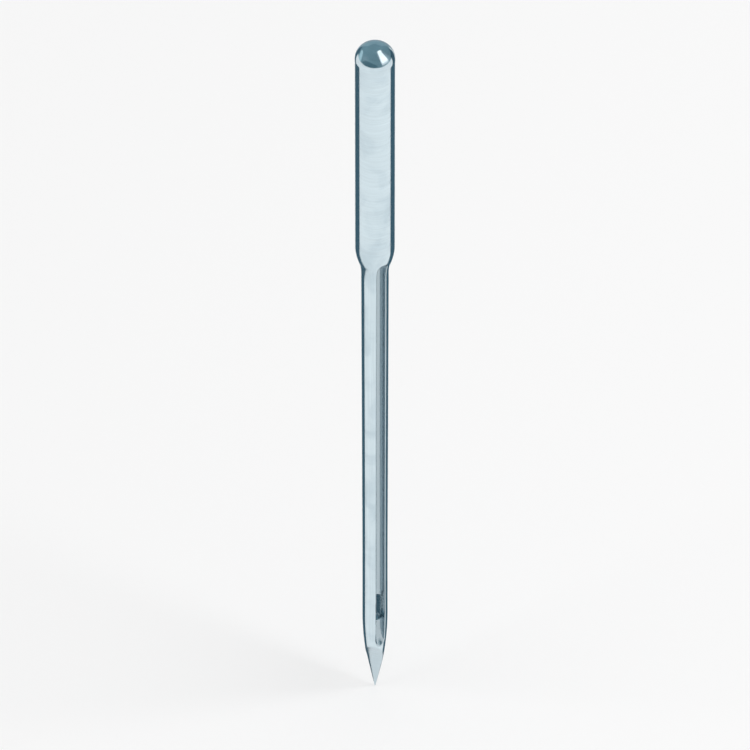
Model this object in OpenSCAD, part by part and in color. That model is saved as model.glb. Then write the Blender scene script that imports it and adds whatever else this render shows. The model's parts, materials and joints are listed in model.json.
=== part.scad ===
// Sewing machine needle with a round shank and a cutting point for leather.
// Millimetres. The needle hangs along Z as it does in the needle bar: the top of the butt
// is at z = 0 and the tip is below it. The long groove faces -Y and the scarf faces +Y.

/* [Shank] */
// Diameter of the shank, which the needle bar takes
shank_d = 2.0; // [1.7:0.01:2.5]
// Height from the top of the butt to the end of the full shank
shank_len = 13.7; // [10:0.1:18]
// Radius that rounds the butt over to its small flat top
butt_round = 0.8; // [0.3:0.05:0.8]

/* [Blade] */
// Length of the shoulder, where the shank narrows to the blade
shoulder_len = 2.0; // [1:0.1:4]
// Diameter of the blade just below the shoulder
blade_top_d = 1.4; // [1.3:0.01:1.6]
// Diameter of the blade just above the scarf, which gives the needle its size number
blade_d = 1.3; // [1.1:0.01:1.4]

/* [Eye] */
// Height from the top of the butt to the upper end of the eye
eye_top = 39; // [33:0.1:42]
// Length of the eye, along the needle
eye_len = 1.9; // [1.4:0.05:2.2]
// Width of the eye
eye_w = 0.46; // [0.36:0.01:0.48]

/* [Long groove] */
// Width of the long groove, which shelters the thread on its way down to the eye
groove_w = 0.5; // [0.49:0.01:0.6]
// Depth of the long groove below the round of the blade
groove_depth = 0.48; // [0.35:0.01:0.5]
// Distance down the shoulder to where the long groove reaches its full depth
groove_start = 1.8; // [1.5:0.1:3]
// Radius in which the floor of the long groove comes up into the shoulder
groove_head_run = 1.2; // [1:0.1:2]
// Length of full groove past the lower end of the eye
groove_past_eye = 0.4; // [0.1:0.1:0.8]
// Radius in which the floor of the long groove comes up above the point
groove_foot_run = 2; // [1:0.1:2.5]

/* [Scarf and short groove] */
// Depth of the scarf, where the hook passes the blade
scarf_depth = 0.3; // [0.15:0.01:0.35]
// Length of the flat floor of the scarf
scarf_len = 2.6; // [1.5:0.1:4]
// Distance from the foot of the scarf floor to the upper end of the eye
scarf_to_eye = 0.7; // [0.5:0.1:1.5]
// Radius in which the scarf comes up into the blade at its upper end
scarf_head_run = 7; // [3:0.5:12]
// Radius in which the scarf comes up towards the eye
scarf_foot_run = 1.3; // [0.8:0.1:2]
// Width of the short groove on the side of the scarf
short_groove_w = 0.5; // [0.49:0.01:0.6]
// Depth of the short groove below the round of the blade
short_groove_depth = 0.48; // [0.4:0.01:0.5]
// Length of full short groove above and below the eye
short_groove_past_eye = 0.3; // [0.1:0.1:0.8]
// Radius in which the floor of the short groove comes up at both ends
short_groove_run = 1.6; // [1:0.1:2.5]

/* [Cutting point] */
// Height from the lower end of the eye to the tip
eye_to_tip = 5.1; // [4.6:0.1:6.5]
// Length over which the blade narrows to the tip
point_len = 5.6; // [4.6:0.1:6.5]
// Width of the tip where it ends
tip_w = 0.04; // [0.02:0.01:0.1]
// Length of the two cutting edges
edge_len = 1.9; // [1:0.1:2.2]
// Half of the point's angle, seen square on to the cutting edges
edge_half_angle = 10.6; // [9:0.1:10.6]
// Half of the point's angle, seen along the cutting edges
face_half_angle = 5.2; // [4:0.1:7]
// Radius in which the two ground faces run out into the round of the point
face_run = 5; // [2:0.5:6]
// Turn of the cutting edges away from the line of the seam
edge_turn = 45; // [0:1:90]

/* [Hidden] */
shank_r = shank_d / 2;
blade_top_r = blade_top_d / 2;
blade_r = blade_d / 2;
tip_r = tip_w / 2;
blade_start = shank_len + shoulder_len;
scarf_foot = eye_top - scarf_to_eye;
scarf_head = scarf_foot - scarf_len;
eye_foot = eye_top + eye_len;
needle_len = eye_foot + eye_to_tip;
point_start = needle_len - point_len;
// The shoulder is two equal arcs that meet in the middle of its length and of its drop.
shoulder_drop = shank_r - blade_top_r;
shoulder_arc = (shoulder_len * shoulder_len + shoulder_drop * shoulder_drop) / (4 * shoulder_drop);
// The round point is one arc that leaves the blade without a corner and ends at the tip.
point_drop = blade_r - tip_r;
point_arc = (point_len * point_len + point_drop * point_drop) / (2 * point_drop);
// Each cutting face is part of a cone whose axis leans away from that face. The lean and the
// cone's own angle follow from how the point looks from its two sides.
face_lean = atan((cos(face_half_angle) - cos(edge_half_angle)) / sin(face_half_angle));
face_cone = face_half_angle + face_lean;
edge_apex = needle_len + tip_r / tan(edge_half_angle);
edge_top = edge_apex - needle_len + edge_len;
// How far the cutters reach past the needle
clear = 0.5;
reach = shank_r + clear;
$fn = 96;
arc_fn = 360;

// Places the XY plane of a flat outline on the YZ plane, so that it is drawn as seen from the side.
module from_the_side() {
  rotate([90, 0, 90]) children();
}

// Half outline of the shank with its rounded butt
module shank_outline() {
  corner = shank_r - butt_round;
  translate([0, -shank_len]) square([shank_r, shank_len - butt_round]);
  translate([0, -butt_round]) square([corner, butt_round]);
  intersection() {
    translate([corner, -butt_round]) circle(r = butt_round);
    translate([corner, -butt_round]) square(butt_round);
  }
}

// Half outline of the shoulder: an arc that turns in from the shank, then one that turns down the blade
module shoulder_outline() {
  half_len = shoulder_len / 2;
  half_r = (shank_r + blade_top_r) / 2;
  intersection() {
    translate([shank_r - shoulder_arc, -shank_len]) circle(r = shoulder_arc, $fn = arc_fn);
    translate([0, -shank_len - half_len]) square([shank_r, half_len]);
  }
  difference() {
    translate([0, -blade_start]) square([half_r, half_len]);
    translate([blade_top_r + shoulder_arc, -blade_start]) circle(r = shoulder_arc, $fn = arc_fn);
  }
}

// Half outline of the blade, which narrows a little down to the scarf and then stays even.
// Its two ends reach inside the shoulder and the point.
module blade_outline() {
  polygon([
    [0, -needle_len + point_len / 2], [blade_r, -point_start], [blade_r, -scarf_head],
    [blade_top_r, -blade_start], [0, -shank_len]
  ]);
}

// Half outline of the round point, before its faces are ground
module point_outline() {
  intersection() {
    translate([blade_r - point_arc, -point_start]) circle(r = point_arc, $fn = 2 * arc_fn);
    translate([0, -needle_len]) square([blade_r, point_len]);
  }
}

// The needle as turned and swaged from wire, before any groove
module round_body() {
  rotate_extrude() {
    shank_outline();
    shoulder_outline();
    blade_outline();
    point_outline();
  }
}

// End of a groove: its round-bottomed section swept up and out in a quarter turn.
// The floor leaves z = 0 at the given depth, on the -Y side.
module groove_end(w, floor_y, run) {
  translate([0, -floor_y - run, 0]) from_the_side() rotate_extrude(angle = 90) {
    translate([run - w / 2, 0]) circle(d = w);
    translate([0, -w / 2]) square([run - w / 2, w]);
  }
}

// Cutter for a groove on the -Y side with a round floor, from z = -head down to z = -foot
module groove_cutter(w, floor_y, head, foot, head_run, foot_run) {
  translate([0, 0, -foot]) linear_extrude(foot - head) {
    translate([0, -floor_y - w / 2]) circle(d = w);
    translate([-w / 2, -reach]) square([w, reach - floor_y - w / 2]);
  }
  translate([0, 0, -head]) groove_end(w, floor_y, head_run);
  translate([0, 0, -foot]) mirror([0, 0, 1]) groove_end(w, floor_y, foot_run);
}

// The long groove starts in the shoulder and passes the eye.
module long_groove() {
  groove_cutter(
    groove_w, blade_r - groove_depth, shank_len + groove_start, eye_foot + groove_past_eye,
    groove_head_run, groove_foot_run
  );
}

// The short groove lies round the eye on the other side.
module short_groove() {
  rotate([0, 0, 180]) groove_cutter(
    short_groove_w, blade_r - short_groove_depth, eye_top - short_groove_past_eye,
    eye_foot + short_groove_past_eye, short_groove_run, short_groove_run
  );
}

// One rounded end of the scarf, in the outline seen from the side
module scarf_end(run) {
  intersection() {
    translate([run, 0]) circle(r = run, $fn = arc_fn);
    square(run);
  }
}

// The scarf is a flat cut across the blade that comes up in an arc at each end.
module scarf() {
  floor_y = blade_r - scarf_depth;
  translate([-reach, 0, 0]) from_the_side() linear_extrude(2 * reach) {
    translate([floor_y, -scarf_foot]) square([reach, scarf_len]);
    translate([floor_y, -scarf_head]) scarf_end(scarf_head_run);
    translate([floor_y, -scarf_foot]) mirror([0, 1]) scarf_end(scarf_foot_run);
  }
}

// The eye is a slot with round ends, straight through from groove to groove.
module eye() {
  translate([0, reach, 0]) rotate([90, 0, 0]) linear_extrude(2 * reach) {
    translate([0, -eye_top - eye_w / 2]) circle(d = eye_w);
    translate([0, -eye_foot + eye_w / 2]) circle(d = eye_w);
    translate([-eye_w / 2, -eye_foot + eye_w / 2]) square([eye_w, eye_len - eye_w]);
  }
}

// Grinds one face of the point, on the +X side. Its outline lies outside a cone and runs out
// in an arc where the edge ends, and it turns round an axis that leans away from the face.
module face_cutter() {
  edge_r = edge_top * tan(face_cone);
  run_r = edge_r + face_run * cos(face_cone);
  run_z = edge_top - face_run * sin(face_cone);
  translate([0, 0, -edge_apex]) rotate([0, -face_lean, 0]) rotate_extrude() {
    polygon([[0, 0], [run_r, 0], [run_r, run_z], [edge_r, edge_top]]);
    translate([run_r, run_z]) circle(r = face_run);
  }
}

module needle() {
  color("silver") difference() {
    round_body();
    long_groove();
    short_groove();
    scarf();
    eye();
    for (side = [0, 180]) {
      rotate([0, 0, edge_turn + side]) face_cutter();
    }
  }
}

needle();
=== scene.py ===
import json
import math

import bpy
import numpy as np
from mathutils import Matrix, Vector


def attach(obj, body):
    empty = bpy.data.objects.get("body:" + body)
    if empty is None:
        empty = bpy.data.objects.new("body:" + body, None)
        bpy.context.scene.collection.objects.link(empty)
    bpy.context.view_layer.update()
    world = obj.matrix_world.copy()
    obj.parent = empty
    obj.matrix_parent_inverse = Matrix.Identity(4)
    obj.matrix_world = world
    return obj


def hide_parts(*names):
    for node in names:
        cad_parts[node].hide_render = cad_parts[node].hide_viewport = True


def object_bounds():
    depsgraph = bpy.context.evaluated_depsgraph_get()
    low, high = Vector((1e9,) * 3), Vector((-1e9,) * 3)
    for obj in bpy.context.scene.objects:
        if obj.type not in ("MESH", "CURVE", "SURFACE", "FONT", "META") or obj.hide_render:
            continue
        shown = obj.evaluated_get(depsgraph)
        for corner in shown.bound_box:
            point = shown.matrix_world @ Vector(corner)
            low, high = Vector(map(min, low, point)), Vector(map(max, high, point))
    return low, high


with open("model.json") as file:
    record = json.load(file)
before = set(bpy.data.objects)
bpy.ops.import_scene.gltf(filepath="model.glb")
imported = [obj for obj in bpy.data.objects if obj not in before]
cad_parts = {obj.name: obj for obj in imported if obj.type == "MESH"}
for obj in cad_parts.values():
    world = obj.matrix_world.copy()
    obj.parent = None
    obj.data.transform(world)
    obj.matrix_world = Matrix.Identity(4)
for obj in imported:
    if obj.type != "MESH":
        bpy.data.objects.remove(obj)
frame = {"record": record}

cadLow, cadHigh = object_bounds()
mm = 0.001
mounts = {m["name"]: m for m in frame["record"]["mounts"]}
print("needle frame loaded")

# The needle's own sizes, in millimetres and degrees. Heights are depths below the top of the butt.
# The long groove faces -Y and the scarf faces +Y.
needle = {
    "length": (cadHigh.z - cadLow.z) / mm,
    "shankRadius": mounts["shank"]["dims"]["r_mm"],
    "shankEnd": -mounts["shank"]["pos_m"][2] / mm + mounts["shank"]["dims"]["length_mm"] / 2,
    "buttRound": 0.8,
    "shoulder": 2.0,
    "bladeTopRadius": 0.7,
    "bladeRadius": 0.65,
    "eyeLength": 1.9,
    "eyeWidth": 0.46,
    "grooveWidth": 0.5,
    "grooveDepth": 0.48,
    "grooveStart": 1.8,
    "grooveHeadRun": 1.2,
    "groovePastEye": 0.4,
    "grooveFootRun": 2.0,
    "scarfDepth": 0.3,
    "scarfLength": 2.6,
    "scarfToEye": 0.7,
    "scarfHeadRun": 7.0,
    "scarfFootRun": 1.3,
    "shortGroovePastEye": 0.3,
    "shortGrooveRun": 1.6,
    "pointLength": 5.6,
    "tipRadius": 0.02,
    "edgeLength": 1.9,
    "edgeHalfAngle": 10.6,
    "faceHalfAngle": 5.2,
    "faceRun": 5.0,
    "edgeTurn": 45.0,
    "lipRound": 0.04,      # polished lips of the grooves and the scarf
    "eyeRound": 0.06,      # rims of the eye, polished so that they don't cut the thread
    "faceRound": 0.012,    # where the ground faces leave the round point
}
eyeTop = -mounts["thread_eye"]["pos_m"][2] / mm - needle["eyeLength"] / 2
eyeFoot = eyeTop + needle["eyeLength"]
scarfFoot = eyeTop - needle["scarfToEye"]
scarfHead = scarfFoot - needle["scarfLength"]
shoulderEnd = needle["shankEnd"] + needle["shoulder"]

# The net that the steel is made from, in millimetres: the step between its lines, and how far that
# step goes on. Columns go from the middle to each side on the blade, layers from the middle to the
# front and back, and rows down the needle.
net = {
    "columns": [(0.04, 0.18), (0.02, 0.3), (0.042, 0.76)],
    "layers": [(0.044, 0.3), (0.03, 0.42), (0.042, 0.76)],
    "rows": [(0.05, 0.9), (0.4, 13.3), (0.06, 14.6), (0.04, 15.7), (0.4, 33.0), (0.1, 37.61),
             (0.03, 42.41), (0.05, 46.0)],
    "aboveButt": 0.03,         # the first row clears the butt by this much
    "pastTip": 0.002,          # the last row clears the tip by this much
    "turns": (42.4, 43.9),     # depths between which it turns to follow the cutting edges
    "passes": 8,               # rounds of moves that bring the corners onto the form
    "longestMove": 0.02,       # of a corner in one pass
    "leastSteepness": 0.2,     # least square of the form's slope that a move is worked out with
    "lightReach": 0.03,        # share of the radius over which the slope of the skin is taken
    "faceReach": 0.3,          # share of the way from a face's corner to its middle, for its own slope
    "sharp": 24.0,             # degrees, from which an edge breaks the light
}


# Two arcs of one radius, which meet halfway down the shoulder
def shoulderRadius(depth):
    length, top, foot = needle["shoulder"], needle["shankRadius"], needle["bladeTopRadius"]
    arc = (length ** 2 + (top - foot) ** 2) / (4 * (top - foot))
    down = np.clip(depth - needle["shankEnd"], 0, length)
    return np.where(
        down < length / 2,
        top - arc + np.sqrt(arc ** 2 - down ** 2),
        foot + arc - np.sqrt(arc ** 2 - (length - down) ** 2),
    )


def bladeTaper(depth):
    share = np.clip((depth - shoulderEnd) / (scarfHead - shoulderEnd), 0, 1)
    return (needle["bladeTopRadius"] - needle["bladeRadius"]) * share


def pointTaper(depth):
    length, drop = needle["pointLength"], needle["bladeRadius"] - needle["tipRadius"]
    arc = (length ** 2 + drop ** 2) / (2 * drop)
    past = np.clip(depth - (needle["length"] - length), 0, length)
    return arc - np.sqrt(arc ** 2 - past ** 2)


def bodyRadius(depth):
    return shoulderRadius(depth) - bladeTaper(depth) - pointTaper(depth)


# Each form below is a distance in millimetres, less than zero inside it.
def roundBody(x, y, z):
    across, rounding = np.hypot(x, y), needle["buttRound"]
    side = across - bodyRadius(-z)
    flat = needle["shankRadius"] - rounding
    crown = np.hypot(np.maximum(across - flat, 0), z + rounding) - rounding
    return np.maximum(np.where(z > -rounding, crown, side), -z - needle["length"])


# Floor of a cut on the side that out points to: straight from head to foot, with an arc up at each end
def floorPath(out, depth, floor, head, foot, headRun, footRun):
    above = np.hypot(np.minimum(out - floor - headRun, 0), depth - head) - headRun
    below = np.hypot(np.minimum(out - floor - footRun, 0), depth - foot) - footRun
    return np.where(depth < head, above, np.where(depth > foot, below, floor - out))


def roundGroove(x, path):
    half = needle["grooveWidth"] / 2
    return np.hypot(x, np.minimum(-path - half, 0)) - half


def longGroove(x, y, z):
    floor = needle["bladeRadius"] - needle["grooveDepth"]
    head, foot = needle["shankEnd"] + needle["grooveStart"], eyeFoot + needle["groovePastEye"]
    return roundGroove(x, floorPath(-y, -z, floor, head, foot,
                                    needle["grooveHeadRun"], needle["grooveFootRun"]))


def shortGroove(x, y, z):
    floor = needle["bladeRadius"] - needle["grooveDepth"]
    past, run = needle["shortGroovePastEye"], needle["shortGrooveRun"]
    return roundGroove(x, floorPath(y, -z, floor, eyeTop - past, eyeFoot + past, run, run))


def scarf(x, y, z):
    floor = needle["bladeRadius"] - needle["scarfDepth"]
    return floorPath(y, -z, floor, scarfHead, scarfFoot, needle["scarfHeadRun"], needle["scarfFootRun"])


def eye(x, y, z):
    half = needle["eyeWidth"] / 2
    middle, straight = needle["eyeLength"] / 2, needle["eyeLength"] / 2 - half
    return np.hypot(x, np.maximum(np.abs(-z - eyeTop - middle) - straight, 0)) - half


# One of the two faces ground on the point: part of a leaning cone, which runs out in an arc
def groundFace(x, y, z, side):
    face, edge = math.radians(needle["faceHalfAngle"]), math.radians(needle["edgeHalfAngle"])
    lean = math.atan((math.cos(face) - math.cos(edge)) / math.sin(face))
    cone = face + lean
    turn = math.radians(needle["edgeTurn"])
    apex = needle["length"] + needle["tipRadius"] / math.tan(edge)
    out = side * (x * math.cos(turn) + y * math.sin(turn))
    along = y * math.cos(turn) - x * math.sin(turn)
    up = z + apex
    axial = up * math.cos(lean) - out * math.sin(lean)
    radial = np.hypot(out * math.cos(lean) + up * math.sin(lean), along)
    edgeTop = apex - needle["length"] + needle["edgeLength"]
    runRadial = edgeTop * math.tan(cone) + needle["faceRun"] * math.cos(cone)
    runAxial = edgeTop - needle["faceRun"] * math.sin(cone)
    flat = radial * math.cos(cone) - axial * math.sin(cone)
    runOut = needle["faceRun"] - np.hypot(radial - runRadial, axial - runAxial)
    onCone = radial * math.sin(cone) + axial * math.cos(cone) < edgeTop / math.cos(cone)
    return np.where(onCone, flat, runOut)


def bothFaces(x, y, z):
    return np.maximum(groundFace(x, y, z, 1), groundFace(x, y, z, -1))


# Keeps what both forms hold, with a rounded edge where they meet.
def roundedBoth(a, b, radius):
    return (np.minimum(np.maximum(a, b), -radius)
            + np.hypot(np.maximum(a + radius, 0), np.maximum(b + radius, 0)))


def needleForm(p):
    x, y, z = p
    form = roundBody(x, y, z)
    form = roundedBoth(form, -longGroove(x, y, z), needle["lipRound"])
    form = roundedBoth(form, -scarf(x, y, z), needle["lipRound"])
    form = roundedBoth(form, -shortGroove(x, y, z), needle["lipRound"])
    form = roundedBoth(form, -eye(x, y, z), needle["eyeRound"])
    return roundedBoth(form, bothFaces(x, y, z), needle["faceRound"])


# The slope is taken over a step to each side, in millimetres.
def slopeOf(form, p, step=2e-4):
    parts = []
    for axis in range(3):
        move = np.zeros_like(p)
        move[axis] = step
        parts.append(form(p + move) - form(p - move))
    return np.array(parts) / (2 * step)


# The net follows the width of the shank and keeps to the lines of the grooves down the blade. In the
# point it narrows again, and turns so that its columns run along the cutting edges.
def placeOnNeedle(grid):
    u, v, z = grid
    depth = -z
    begin, end = net["turns"]
    share = np.clip((depth - begin) / (end - begin), 0, 1)
    share = share * share * (3 - 2 * share)    # eases in and out
    blade, width = needle["bladeTopRadius"], bodyRadius(depth)
    scale = np.where(depth > shoulderEnd, blade + (width - blade) * share, width) / blade
    turn = math.radians(needle["edgeTurn"]) * share
    return np.array([
        (u * np.cos(turn) - v * np.sin(turn)) * scale,
        (u * np.sin(turn) + v * np.cos(turn)) * scale,
        z,
    ])


def linesFrom(start, steps):
    places = [start]
    for step, end in steps:
        count = max(1, round((end - places[-1]) / step))
        places += list(np.linspace(places[-1], end, count + 1)[1:])
    return np.array(places)


# The middle cells lie half to each side, so that they hold the cutting edges.
def netLines():
    halves = [linesFrom(steps[0][0] / 2, steps) for steps in (net["columns"], net["layers"])]
    depths = linesFrom(-net["aboveButt"], net["rows"])
    depths[-1] += net["pastTip"]
    return *(np.append(-half[::-1], half) for half in halves), -depths[::-1]


# Where the form's surface crosses the net's lines along one axis, and which crossed lines start inside it
def crossingsAlong(axis, grid, value):
    low, high = [slice(None)] * 3, [slice(None)] * 3
    low[axis], high[axis] = slice(0, -1), slice(1, None)
    low, high = tuple(low), tuple(high)
    startsInside = value[low] < 0
    crossed = startsInside != (value[high] < 0)
    share = np.where(crossed, value[low] / np.where(crossed, value[low] - value[high], 1), 0)
    start, end = grid[(slice(None),) + low], grid[(slice(None),) + high]
    return crossed, np.where(crossed, start * (1 - share) + end * share, 0), startsInside[crossed]


otherAxes = ((1, 2), (0, 2), (0, 1))


# One corner in each cell that is crossed, in the middle of its crossings, and the corner's number there
def cornersInCells(crossings, cells):
    total, count = np.zeros((3,) + cells), np.zeros(cells)
    for axis, (crossed, spots, startsInside) in enumerate(crossings):
        for steps in ((0, 0), (0, 1), (1, 0), (1, 1)):
            part = [slice(0, size) for size in crossed.shape]
            for other, step in zip(otherAxes[axis], steps):
                part[other] = slice(step, step + cells[other])
            count += crossed[tuple(part)]
            total += spots[(slice(None),) + tuple(part)]
    used = count > 0
    number = np.full(cells, -1)
    number[used] = np.arange(used.sum())
    return total[:, used] / count[used], number


# A four-sided face for each crossed line, between the corners in the four cells round it
def facesRoundLines(axis, crossed, startsInside, number):
    lines = np.argwhere(crossed)
    ring = []
    for steps in ((0, 0), (1, 0), (1, 1), (0, 1)):
        cell = lines.copy()
        for other, step in zip(otherAxes[axis], steps):
            cell[:, other] -= step
        ring.append(number[tuple(cell.T)])
    faces = np.stack(ring, 1)
    flip = startsInside == (axis == 1)    # X and Z go round Y the other way
    faces[flip] = faces[flip][:, ::-1]
    return faces


def netOver(form, place, lines):
    grid = np.array(np.meshgrid(*lines, indexing="ij"))
    value = form(place(grid.reshape(3, -1))).reshape(grid.shape[1:])
    crossings = [crossingsAlong(axis, grid, value) for axis in range(3)]
    corners, number = cornersInCells(crossings, tuple(size - 1 for size in value.shape))
    faces = [facesRoundLines(axis, crossed, startsInside, number)
             for axis, (crossed, spots, startsInside) in enumerate(crossings)]
    return place(corners), np.concatenate(faces)


# Moves the corners along the form's slope until they lie on its surface.
def settle(corners):
    for _ in range(net["passes"]):
        slope = slopeOf(needleForm, corners)
        steepness = np.maximum((slope ** 2).sum(0), net["leastSteepness"])
        move = np.clip(needleForm(corners), -net["longestMove"], net["longestMove"])
        corners = corners - slope * move / steepness
    return corners


def unit(vectors):
    return vectors / np.linalg.norm(vectors, axis=0)


# The light runs smoothly over the whole skin and breaks only at the cutting edges.
def lightOver(corners, faces):
    inward = net["faceReach"]
    middles = corners[:, faces].mean(2).repeat(4, axis=1)
    faceCorner = faces.ravel()
    reach = net["lightReach"] * bodyRadius(-corners[2])
    smooth = unit(slopeOf(needleForm, corners, reach))[:, faceCorner]
    own = unit(slopeOf(needleForm, corners[:, faceCorner] * (1 - inward) + middles * inward))
    broken = (smooth * own).sum(0) < math.cos(math.radians(net["sharp"]))
    print("needle skin:", len(faces), "faces,", int(broken.sum()), "sharp corners")
    return np.where(broken, own, smooth)


def addObject(name, data):
    thing = bpy.data.objects.new(name, data)
    bpy.context.scene.collection.objects.link(thing)
    return thing


def makeNeedle():
    corners, faces = netOver(needleForm, placeOnNeedle, netLines())
    corners = settle(corners)
    skin = bpy.data.meshes.new("needleSteel")
    skin.from_pydata((corners.T * mm).tolist(), [], faces.tolist())
    skin.shade_smooth()
    light = skin.attributes.new("custom_normal", "FLOAT_VECTOR", "CORNER")
    light.data.foreach_set("vector", lightOver(corners, faces).T.astype(np.float32).ravel())
    skin.update()
    return addObject("needleSteel", skin), corners


finish = {
    "tone": (0.675, 0.79, 0.842),
    "hazeTone": (0.565, 0.68, 0.74),      # faint cloudy marks left by handling
    "groundTone": (0.56, 0.66, 0.71),     # left by the grinding wheel on the point and the scarf
    "grooveShadeTone": (0.45, 0.535, 0.58),    # painted shade: the grooves and the eye are drawn darker, as shade in the recesses; their duller plating is grooveRoughness
    "maskFade": 0.05,                     # millimetres over which one tone goes over into the next
    "roughness": 0.1,
    "hazeRoughness": 0.17,
    "grooveRoughness": 0.24,
    "groundRoughness": 0.2,
    "hazeMarks": 0.55,                    # marks to the millimetre
    "hazeClear": 0.42,                    # noise up to here shows no haze
    "hazeFull": 0.72,                     # noise from here on shows all of it
    "hazeDetail": 4,
    "hazeSwirl": 0.6,
    "lineDepth": 1.0e-6,                  # metres, deepest of the polishing lines
    "lineShade": (0.87, 1.13),            # how the lines darken and lighten the steel
    "lineDetail": 3,
    "lineBreak": 0.6,
    "shankLines": (0.5, 0.5, 13.0),       # lines to the millimetre along X, Y and Z
    "bladeLines": (11.0, 11.0, 0.3),
    "groundLines": (1.5, 1.5, 22.0),
}


# Masks that the finish reads: where the needle was milled, pierced and ground. The groove and eye masks
# also place the painted shade of those recesses.
def markFinish(piece, corners):
    x, y, z = corners
    marks = {
        "grooveMask": np.minimum(longGroove(x, y, z), shortGroove(x, y, z)),
        "eyeMask": eye(x, y, z),
        "scarfMask": scarf(x, y, z),
        "faceMask": -bothFaces(x, y, z),
    }
    for name, distance in marks.items():
        mark = piece.data.attributes.new(name, "FLOAT", "POINT")
        share = np.clip(1 - distance / finish["maskFade"], 0, 1)
        mark.data.foreach_set("value", share.astype(np.float32))


needlePiece, needleCorners = makeNeedle()
markFinish(needlePiece, needleCorners)
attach(needlePiece, "root")
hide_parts("needle")


# Each input gets a value, or else a link from the output that is given for it.
def feed(tree, node, inputs):
    for name, value in inputs.items():
        if isinstance(value, bpy.types.NodeSocket):
            tree.links.new(value, node.inputs[name])
        else:
            node.inputs[name].default_value = value


def addNode(tree, kind, inputs, **settings):
    node = tree.nodes.new(kind)
    for name, value in settings.items():
        setattr(node, name, value)
    feed(tree, node, inputs)
    return node


def addMath(tree, operation, first, second):
    return addNode(tree, "ShaderNodeMath", {0: first, 1: second}, operation=operation).outputs[0]


# Goes from low to high by the share. Colours and numbers have sockets of their own on the node.
def addBlend(tree, share, low, high, kind="FLOAT"):
    first, result = (6, 2) if kind == "RGBA" else (2, 0)
    node = addNode(tree, "ShaderNodeMix", {0: share, first: low, first + 1: high}, data_type=kind)
    return node.outputs[result]


def addMark(tree, name, output="Fac"):
    return addNode(tree, "ShaderNodeAttribute", {}, attribute_name=name).outputs[output]


def addGroup(tree, group, inputs):
    return addNode(tree, "ShaderNodeGroup", inputs, node_tree=group).outputs[0]


def newMaterial(name):
    material = bpy.data.materials.new(name)
    material.use_nodes = True
    return material, material.node_tree, material.node_tree.nodes["Principled BSDF"]


def newGroup(name, inputs, outputs):
    group = bpy.data.node_groups.new(name, "ShaderNodeTree")
    for label, kind in inputs:
        group.interface.new_socket(label, in_out="INPUT", socket_type=kind)
    for label, kind in outputs:
        group.interface.new_socket(label, in_out="OUTPUT", socket_type=kind)
    return group, group.nodes.new("NodeGroupInput").outputs, group.nodes.new("NodeGroupOutput")


# Fine lines from grinding and polishing, close together one way and long the other
def makeLineGroup():
    group, given, result = newGroup(
        "polishingLines", [("Place", "NodeSocketVector"), ("Lines per mm", "NodeSocketVector")],
        [("Lines", "NodeSocketFloat")])
    stretch = addNode(group, "ShaderNodeVectorMath", {0: given["Place"], 1: given["Lines per mm"]},
                      operation="MULTIPLY")
    noise = addNode(group, "ShaderNodeTexNoise", {
        "Vector": stretch.outputs[0],
        "Scale": 1,
        "Detail": finish["lineDetail"],
        "Roughness": finish["lineBreak"],
    })
    feed(group, result, {"Lines": noise.outputs["Fac"]})
    return group


# Cloudy marks, from clear at 0 to full at 1
def makeHazeGroup():
    group, given, result = newGroup(
        "handlingHaze", [("Place", "NodeSocketVector"), ("Marks per mm", "NodeSocketFloat")],
        [("Haze", "NodeSocketFloat")])
    noise = addNode(group, "ShaderNodeTexNoise", {
        "Vector": given["Place"],
        "Scale": given["Marks per mm"],
        "Detail": finish["hazeDetail"],
        "Distortion": finish["hazeSwirl"],
    })
    clear = addNode(group, "ShaderNodeMapRange", {
        "Value": noise.outputs["Fac"],
        "From Min": finish["hazeClear"],
        "From Max": finish["hazeFull"],
    }, interpolation_type="SMOOTHSTEP")
    feed(group, result, {"Haze": clear.outputs[0]})
    return group


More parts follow.
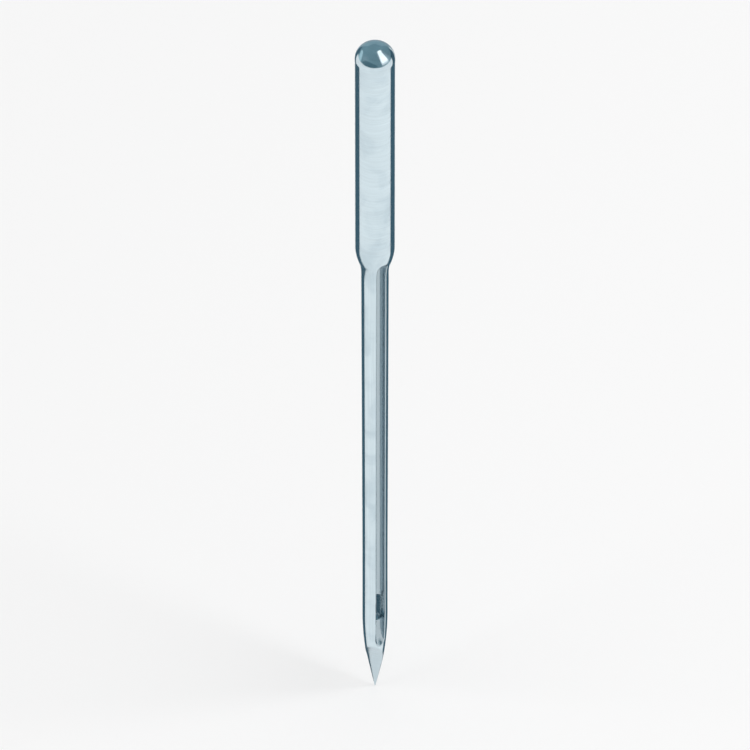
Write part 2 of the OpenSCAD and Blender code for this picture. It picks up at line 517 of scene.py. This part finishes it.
def makePlatedSteel():
    steel, tree, shader = newMaterial("platedSteel")
    lines, haze = makeLineGroup(), makeHazeGroup()
    place = addNode(tree, "ShaderNodeTexCoord", {}).outputs["Object"]
    spot = addNode(tree, "ShaderNodeVectorMath", {0: place, "Scale": 1 / mm}, operation="SCALE").outputs[0]
    height = addNode(tree, "ShaderNodeSeparateXYZ", {0: spot}).outputs["Z"]
    onShank = addNode(tree, "ShaderNodeMapRange", {
        "Value": height,
        "From Min": -needle["shankEnd"] - needle["shoulder"] / 2,
        "From Max": -needle["shankEnd"],
    }).outputs[0]

    def linesOf(kind):
        return addGroup(tree, lines, {"Place": spot, "Lines per mm": finish[kind]})

    clouds = addGroup(tree, haze, {"Place": spot, "Marks per mm": finish["hazeMarks"]})
    ground = addMath(tree, "MAXIMUM", addMark(tree, "faceMask"), addMark(tree, "scarfMask"))
    # Grooves and the eye: duller steel, and a painted shade in their tone
    cut = addMath(tree, "MAXIMUM", addMark(tree, "grooveMask"), addMark(tree, "eyeMask"))
    pattern = addBlend(tree, onShank, linesOf("bladeLines"), linesOf("shankLines"))
    pattern = addBlend(tree, ground, pattern, linesOf("groundLines"))
    tone = addBlend(tree, clouds, (*finish["tone"], 1), (*finish["hazeTone"], 1), "RGBA")
    tone = addBlend(tree, ground, tone, (*finish["groundTone"], 1), "RGBA")
    # Painted shade: the grooves and the eye get a darker tone
    tone = addBlend(tree, cut, tone, (*finish["grooveShadeTone"], 1), "RGBA")
    darkest, lightest = finish["lineShade"]
    shade = addNode(tree, "ShaderNodeMapRange", {"Value": pattern, "To Min": darkest, "To Max": lightest})
    shaded = addNode(tree, "ShaderNodeVectorMath", {0: tone, "Scale": shade.outputs[0]}, operation="SCALE")
    rough = addBlend(tree, clouds, finish["roughness"], finish["hazeRoughness"])
    rough = addBlend(tree, ground, rough, finish["groundRoughness"])
    rough = addBlend(tree, cut, rough, finish["grooveRoughness"])
    bump = addNode(tree, "ShaderNodeBump", {"Height": pattern, "Distance": finish["lineDepth"]})
    feed(tree, shader, {
        "Base Color": shaded.outputs[0],
        "Roughness": rough,
        "Normal": bump.outputs["Normal"],
        "Metallic": 1,
    })
    return steel


needlePiece.data.materials.append(makePlatedSteel())
print("steel finished")

studio = {
    "floorTone": 0.94,
    "floorRoughness": 0.9,
    "floorGloss": 0.1,
    "floorReach": 3.0,             # metres
    "floorFade": (0.04, 0.13),     # metres between which the floor turns into the backdrop
    "backdrop": 0.95,              # how bright the room looks behind the needle and in its reflections
    "roomLight": 0.69,             # how much light the room gives
}
# Soft lamps: turn from the camera and rise in degrees, sides and distance in metres, power in watts
softBoxes = {
    "rightBox": {"turn": 80, "rise": 34, "wide": 0.34, "tall": 0.62, "away": 0.6, "power": 1.9},
    "leftBox": {"turn": -76, "rise": 36, "wide": 0.34, "tall": 0.34, "away": 0.6, "power": 0.5},
}
# Dark screens: turns from the camera, and an outline of distance and height above the floor in metres
flatOutline = [(0.0002, 0.0001), (0.056, 0.0002)]
wallOutline = [(0.056, 0.0002), (0.068, 0.004), (0.076, 0.02), (0.08, 0.04), (0.08, 0.055)]
edgeTone = (0.062, 0.122, 0.16)
rearTone = (0.3, 0.38, 0.42)
screenStep = 4    # degrees of turn to each face of a screen, about
darkScreens = {
    "rightFlat": {"turns": (98, 152), "outline": flatOutline, "tone": edgeTone},
    "leftFlat": {"turns": (-152, -98), "outline": flatOutline, "tone": edgeTone},
    "rightWall": {"turns": (106, 142), "outline": wallOutline, "tone": edgeTone},
    "leftWall": {"turns": (-150, -124), "outline": wallOutline, "tone": edgeTone},
    "rearWall": {"turns": (150, 210), "outline": wallOutline, "tone": rearTone},
}
# A paper hood over the needle, which its polished dome reflects. Its patches are placed by where a
# steel ball would show them: across and up in the camera's view of the ball, whose radius is 1. The
# white strip fades towards the rim, so that the dome keeps its edge when it is seen from behind.
hood = {
    "away": 0.45,         # metres
    "cell": 1.5,          # degrees, side of each of its faces
    "rim": 1,             # degrees above level
    "fade": (3, 28),      # degrees above level between which a glowing strip comes up
    "tone": (0.18, 0.29, 0.335),
    "glow": 0.0,
}
hoodPatches = {
    "whiteStrip": {"from": (0.1, 0.58), "to": (0.73, -0.5), "half": (0.05, 0.27),
                   "tone": (0.9, 0.9, 0.9), "glow": 0.6},
    "paleStrip": {"from": (-0.94, -0.35), "to": (-0.52, 0.5), "half": (0.13, 0.06),
                  "tone": (0.5, 0.68, 0.74), "glow": 0.0},
    "darkPatch": {"from": (-0.42, -0.12), "to": (-0.05, -0.35), "half": (0.16, 0.18),
                  "tone": (0.1, 0.185, 0.225), "glow": 0.0},
    "topPatch": {"from": (-0.5, 0.85), "to": (0.5, 0.85), "half": (0.13, 0.13),
                 "tone": (0.25, 0.37, 0.42), "glow": 0.0},
}
viewpoint = {
    "azimuth": -28.0,
    "elevation": 46.0,
    "away": 0.6,              # metres
    "fill": 0.85,             # share of the picture's height that the needle takes
    "sensor": 36.0,           # millimetres
    "clip": (0.01, 20),       # metres
}


# Points to this turn round the needle, from -Y towards +X, and this height, both in degrees.
def direction(turn, height):
    turn, height = math.radians(turn), math.radians(height)
    level = math.cos(height)
    return Vector((math.sin(turn) * level, -math.cos(turn) * level, math.sin(height)))


def addStage(name, points, faces, material):
    mesh = bpy.data.meshes.new(name)
    mesh.from_pydata(points, [], faces)
    mesh.materials.append(material)
    thing = addObject(name, mesh)
    return thing


def seenByEyeOrGloss(tree):
    seen = addNode(tree, "ShaderNodeLightPath", {}).outputs
    eyeOrGloss = addMath(tree, "MAXIMUM", seen["Is Camera Ray"], seen["Is Glossy Ray"])
    return addMath(tree, "MAXIMUM", eyeOrGloss, seen["Is Transmission Ray"])


# Far from the needle the floor turns into the backdrop, so that no horizon shows.
def makeFloor():
    paper, tree, shader = newMaterial("floorPaper")
    feed(tree, shader, {
        "Base Color": (*[studio["floorTone"]] * 3, 1),
        "Roughness": studio["floorRoughness"],
        "Specular IOR Level": studio["floorGloss"],
    })
    place = addNode(tree, "ShaderNodeTexCoord", {}).outputs["Object"]
    far = addNode(tree, "ShaderNodeVectorMath", {0: place}, operation="LENGTH").outputs["Value"]
    begin, end = studio["floorFade"]
    fade = addNode(tree, "ShaderNodeMapRange", {"Value": far, "From Min": begin, "From Max": end},
                   interpolation_type="SMOOTHSTEP")
    share = addMath(tree, "MULTIPLY", fade.outputs[0], seenByEyeOrGloss(tree))
    backdrop = addNode(tree, "ShaderNodeEmission", {"Color": (*[studio["backdrop"]] * 3, 1)})
    mix = addNode(tree, "ShaderNodeMixShader", {0: share, 1: shader.outputs[0], 2: backdrop.outputs[0]})
    feed(tree, tree.nodes["Material Output"], {"Surface": mix.outputs[0]})
    reach = studio["floorReach"]
    corners = [(-reach, -reach, 0), (reach, -reach, 0), (reach, reach, 0), (-reach, reach, 0)]
    floor = addStage("floor", corners, [(0, 1, 2, 3)], paper)
    floor.location.z = cadLow.z


def makeWorld():
    world = bpy.data.worlds.new("paleRoom")
    bpy.context.scene.world = world
    world.use_nodes = True
    tree = world.node_tree
    level = addNode(tree, "ShaderNodeMapRange", {
        "Value": seenByEyeOrGloss(tree),
        "To Min": studio["roomLight"],
        "To Max": studio["backdrop"],
    })
    feed(tree, tree.nodes["Background"], {"Color": (1, 1, 1, 1), "Strength": level.outputs[0]})


def makeSoftBoxes(centre):
    for name, box in softBoxes.items():
        lamp = bpy.data.lights.new(name, "AREA")
        lamp.shape = "RECTANGLE"
        lamp.size, lamp.size_y = box["wide"], box["tall"]
        lamp.energy = box["power"]
        holder = addObject(name, lamp)
        toBox = direction(viewpoint["azimuth"] + box["turn"], box["rise"])
        holder.location = centre + toBox * box["away"]
        holder.rotation_euler = toBox.to_track_quat("Z", "Y").to_euler()


def hideFromAllButGloss(thing):
    thing.visible_camera = False
    thing.visible_diffuse = False
    thing.visible_transmission = False
    thing.visible_shadow = False


def mattePaper(name, tone):
    paper, tree, shader = newMaterial(name)
    feed(tree, shader, {"Base Color": (*tone, 1), "Roughness": 1, "Specular IOR Level": 0})
    return paper


def makeDarkScreens():
    for name, screen in darkScreens.items():
        start, end = screen["turns"]
        steps = max(2, round(abs(end - start) / screenStep))
        tall = len(screen["outline"])
        points, faces = [], []
        for i in range(steps + 1):
            out = direction(viewpoint["azimuth"] + start + (end - start) * i / steps, 0)
            points += [out * away + Vector((0, 0, cadLow.z + up)) for away, up in screen["outline"]]
        for i in range(steps):
            for j in range(tall - 1):
                faces.append((i * tall + j, (i + 1) * tall + j, (i + 1) * tall + j + 1, i * tall + j + 1))
        hideFromAllButGloss(addStage(name, points, faces, mattePaper(name, screen["tone"])))


# The patch that a ball shows in this direction, or else the plain hood
def patchAt(out):
    view = direction(viewpoint["azimuth"], viewpoint["elevation"])
    across = direction(viewpoint["azimuth"] + 90, 0)
    facing = (out + view).normalized()
    spot = Vector((facing.dot(across), facing.dot(view.cross(across))))
    for patch in hoodPatches.values():
        start, end = Vector(patch["from"]), Vector(patch["to"])
        share = min(1, max(0, (spot - start).dot(end - start) / (end - start).length_squared))
        narrow, wide = patch["half"]
        if (spot - start.lerp(end, share)).length < narrow + (wide - narrow) * share:
            return patch
    return hood


# The hood's paper reads the tone and the glow that each of its faces carries.
def makeHoodPaper():
    paper = mattePaper("hoodPaper", hood["tone"])
    tree = paper.node_tree
    feed(tree, tree.nodes["Principled BSDF"], {
        "Base Color": addMark(tree, "tone", "Color"),
        "Emission Color": (1, 1, 1, 1),
        "Emission Strength": addMark(tree, "glow"),
    })
    return paper


def makeHood(centre):
    cell = hood["cell"]
    around, up = round(360 / cell), round(90 / cell)
    points, faces, tones, glows = [], [], [], []
    for j in range(up + 1):
        for i in range(around):
            points.append(centre + direction(i * cell, max(hood["rim"], j * cell)) * hood["away"])
    for j in range(up):
        height = (j + 0.5) * cell
        below, above = j * around, (j + 1) * around
        for i in range(around):
            after = (i + 1) % around
            faces.append((below + i, below + after, above + after, above + i))
            patch = patchAt(direction((i + 0.5) * cell, height))
            share = float(np.interp(height, hood["fade"], (0, 1))) if patch["glow"] else 1
            tones += [low + (high - low) * share for low, high in zip(hood["tone"], patch["tone"])] + [1]
            glows.append(patch["glow"] * share)
    dome = addStage("hood", points, faces, makeHoodPaper())
    dome.data.attributes.new("tone", "FLOAT_COLOR", "FACE").data.foreach_set("color", tones)
    dome.data.attributes.new("glow", "FLOAT", "FACE").data.foreach_set("value", glows)
    hideFromAllButGloss(dome)


def makeCamera(centre):
    lens = bpy.data.cameras.new("camera")
    camera = addObject("camera", lens)
    toCamera = direction(viewpoint["azimuth"], viewpoint["elevation"])
    camera.location = centre + toCamera * viewpoint["away"]
    camera.rotation_euler = toCamera.to_track_quat("Z", "Y").to_euler()
    tall = (cadHigh.z - cadLow.z) * math.cos(math.radians(viewpoint["elevation"])) / viewpoint["fill"]
    lens.sensor_width = viewpoint["sensor"]
    lens.lens = viewpoint["sensor"] * viewpoint["away"] / tall
    lens.clip_start, lens.clip_end = viewpoint["clip"]
    bpy.context.scene.camera = camera


middle = (cadLow + cadHigh) / 2
makeFloor()
makeWorld()
makeSoftBoxes(middle)
makeDarkScreens()
makeHood(middle)
makeCamera(middle)
bpy.context.scene.view_settings.view_transform = "Standard"
print("studio set")
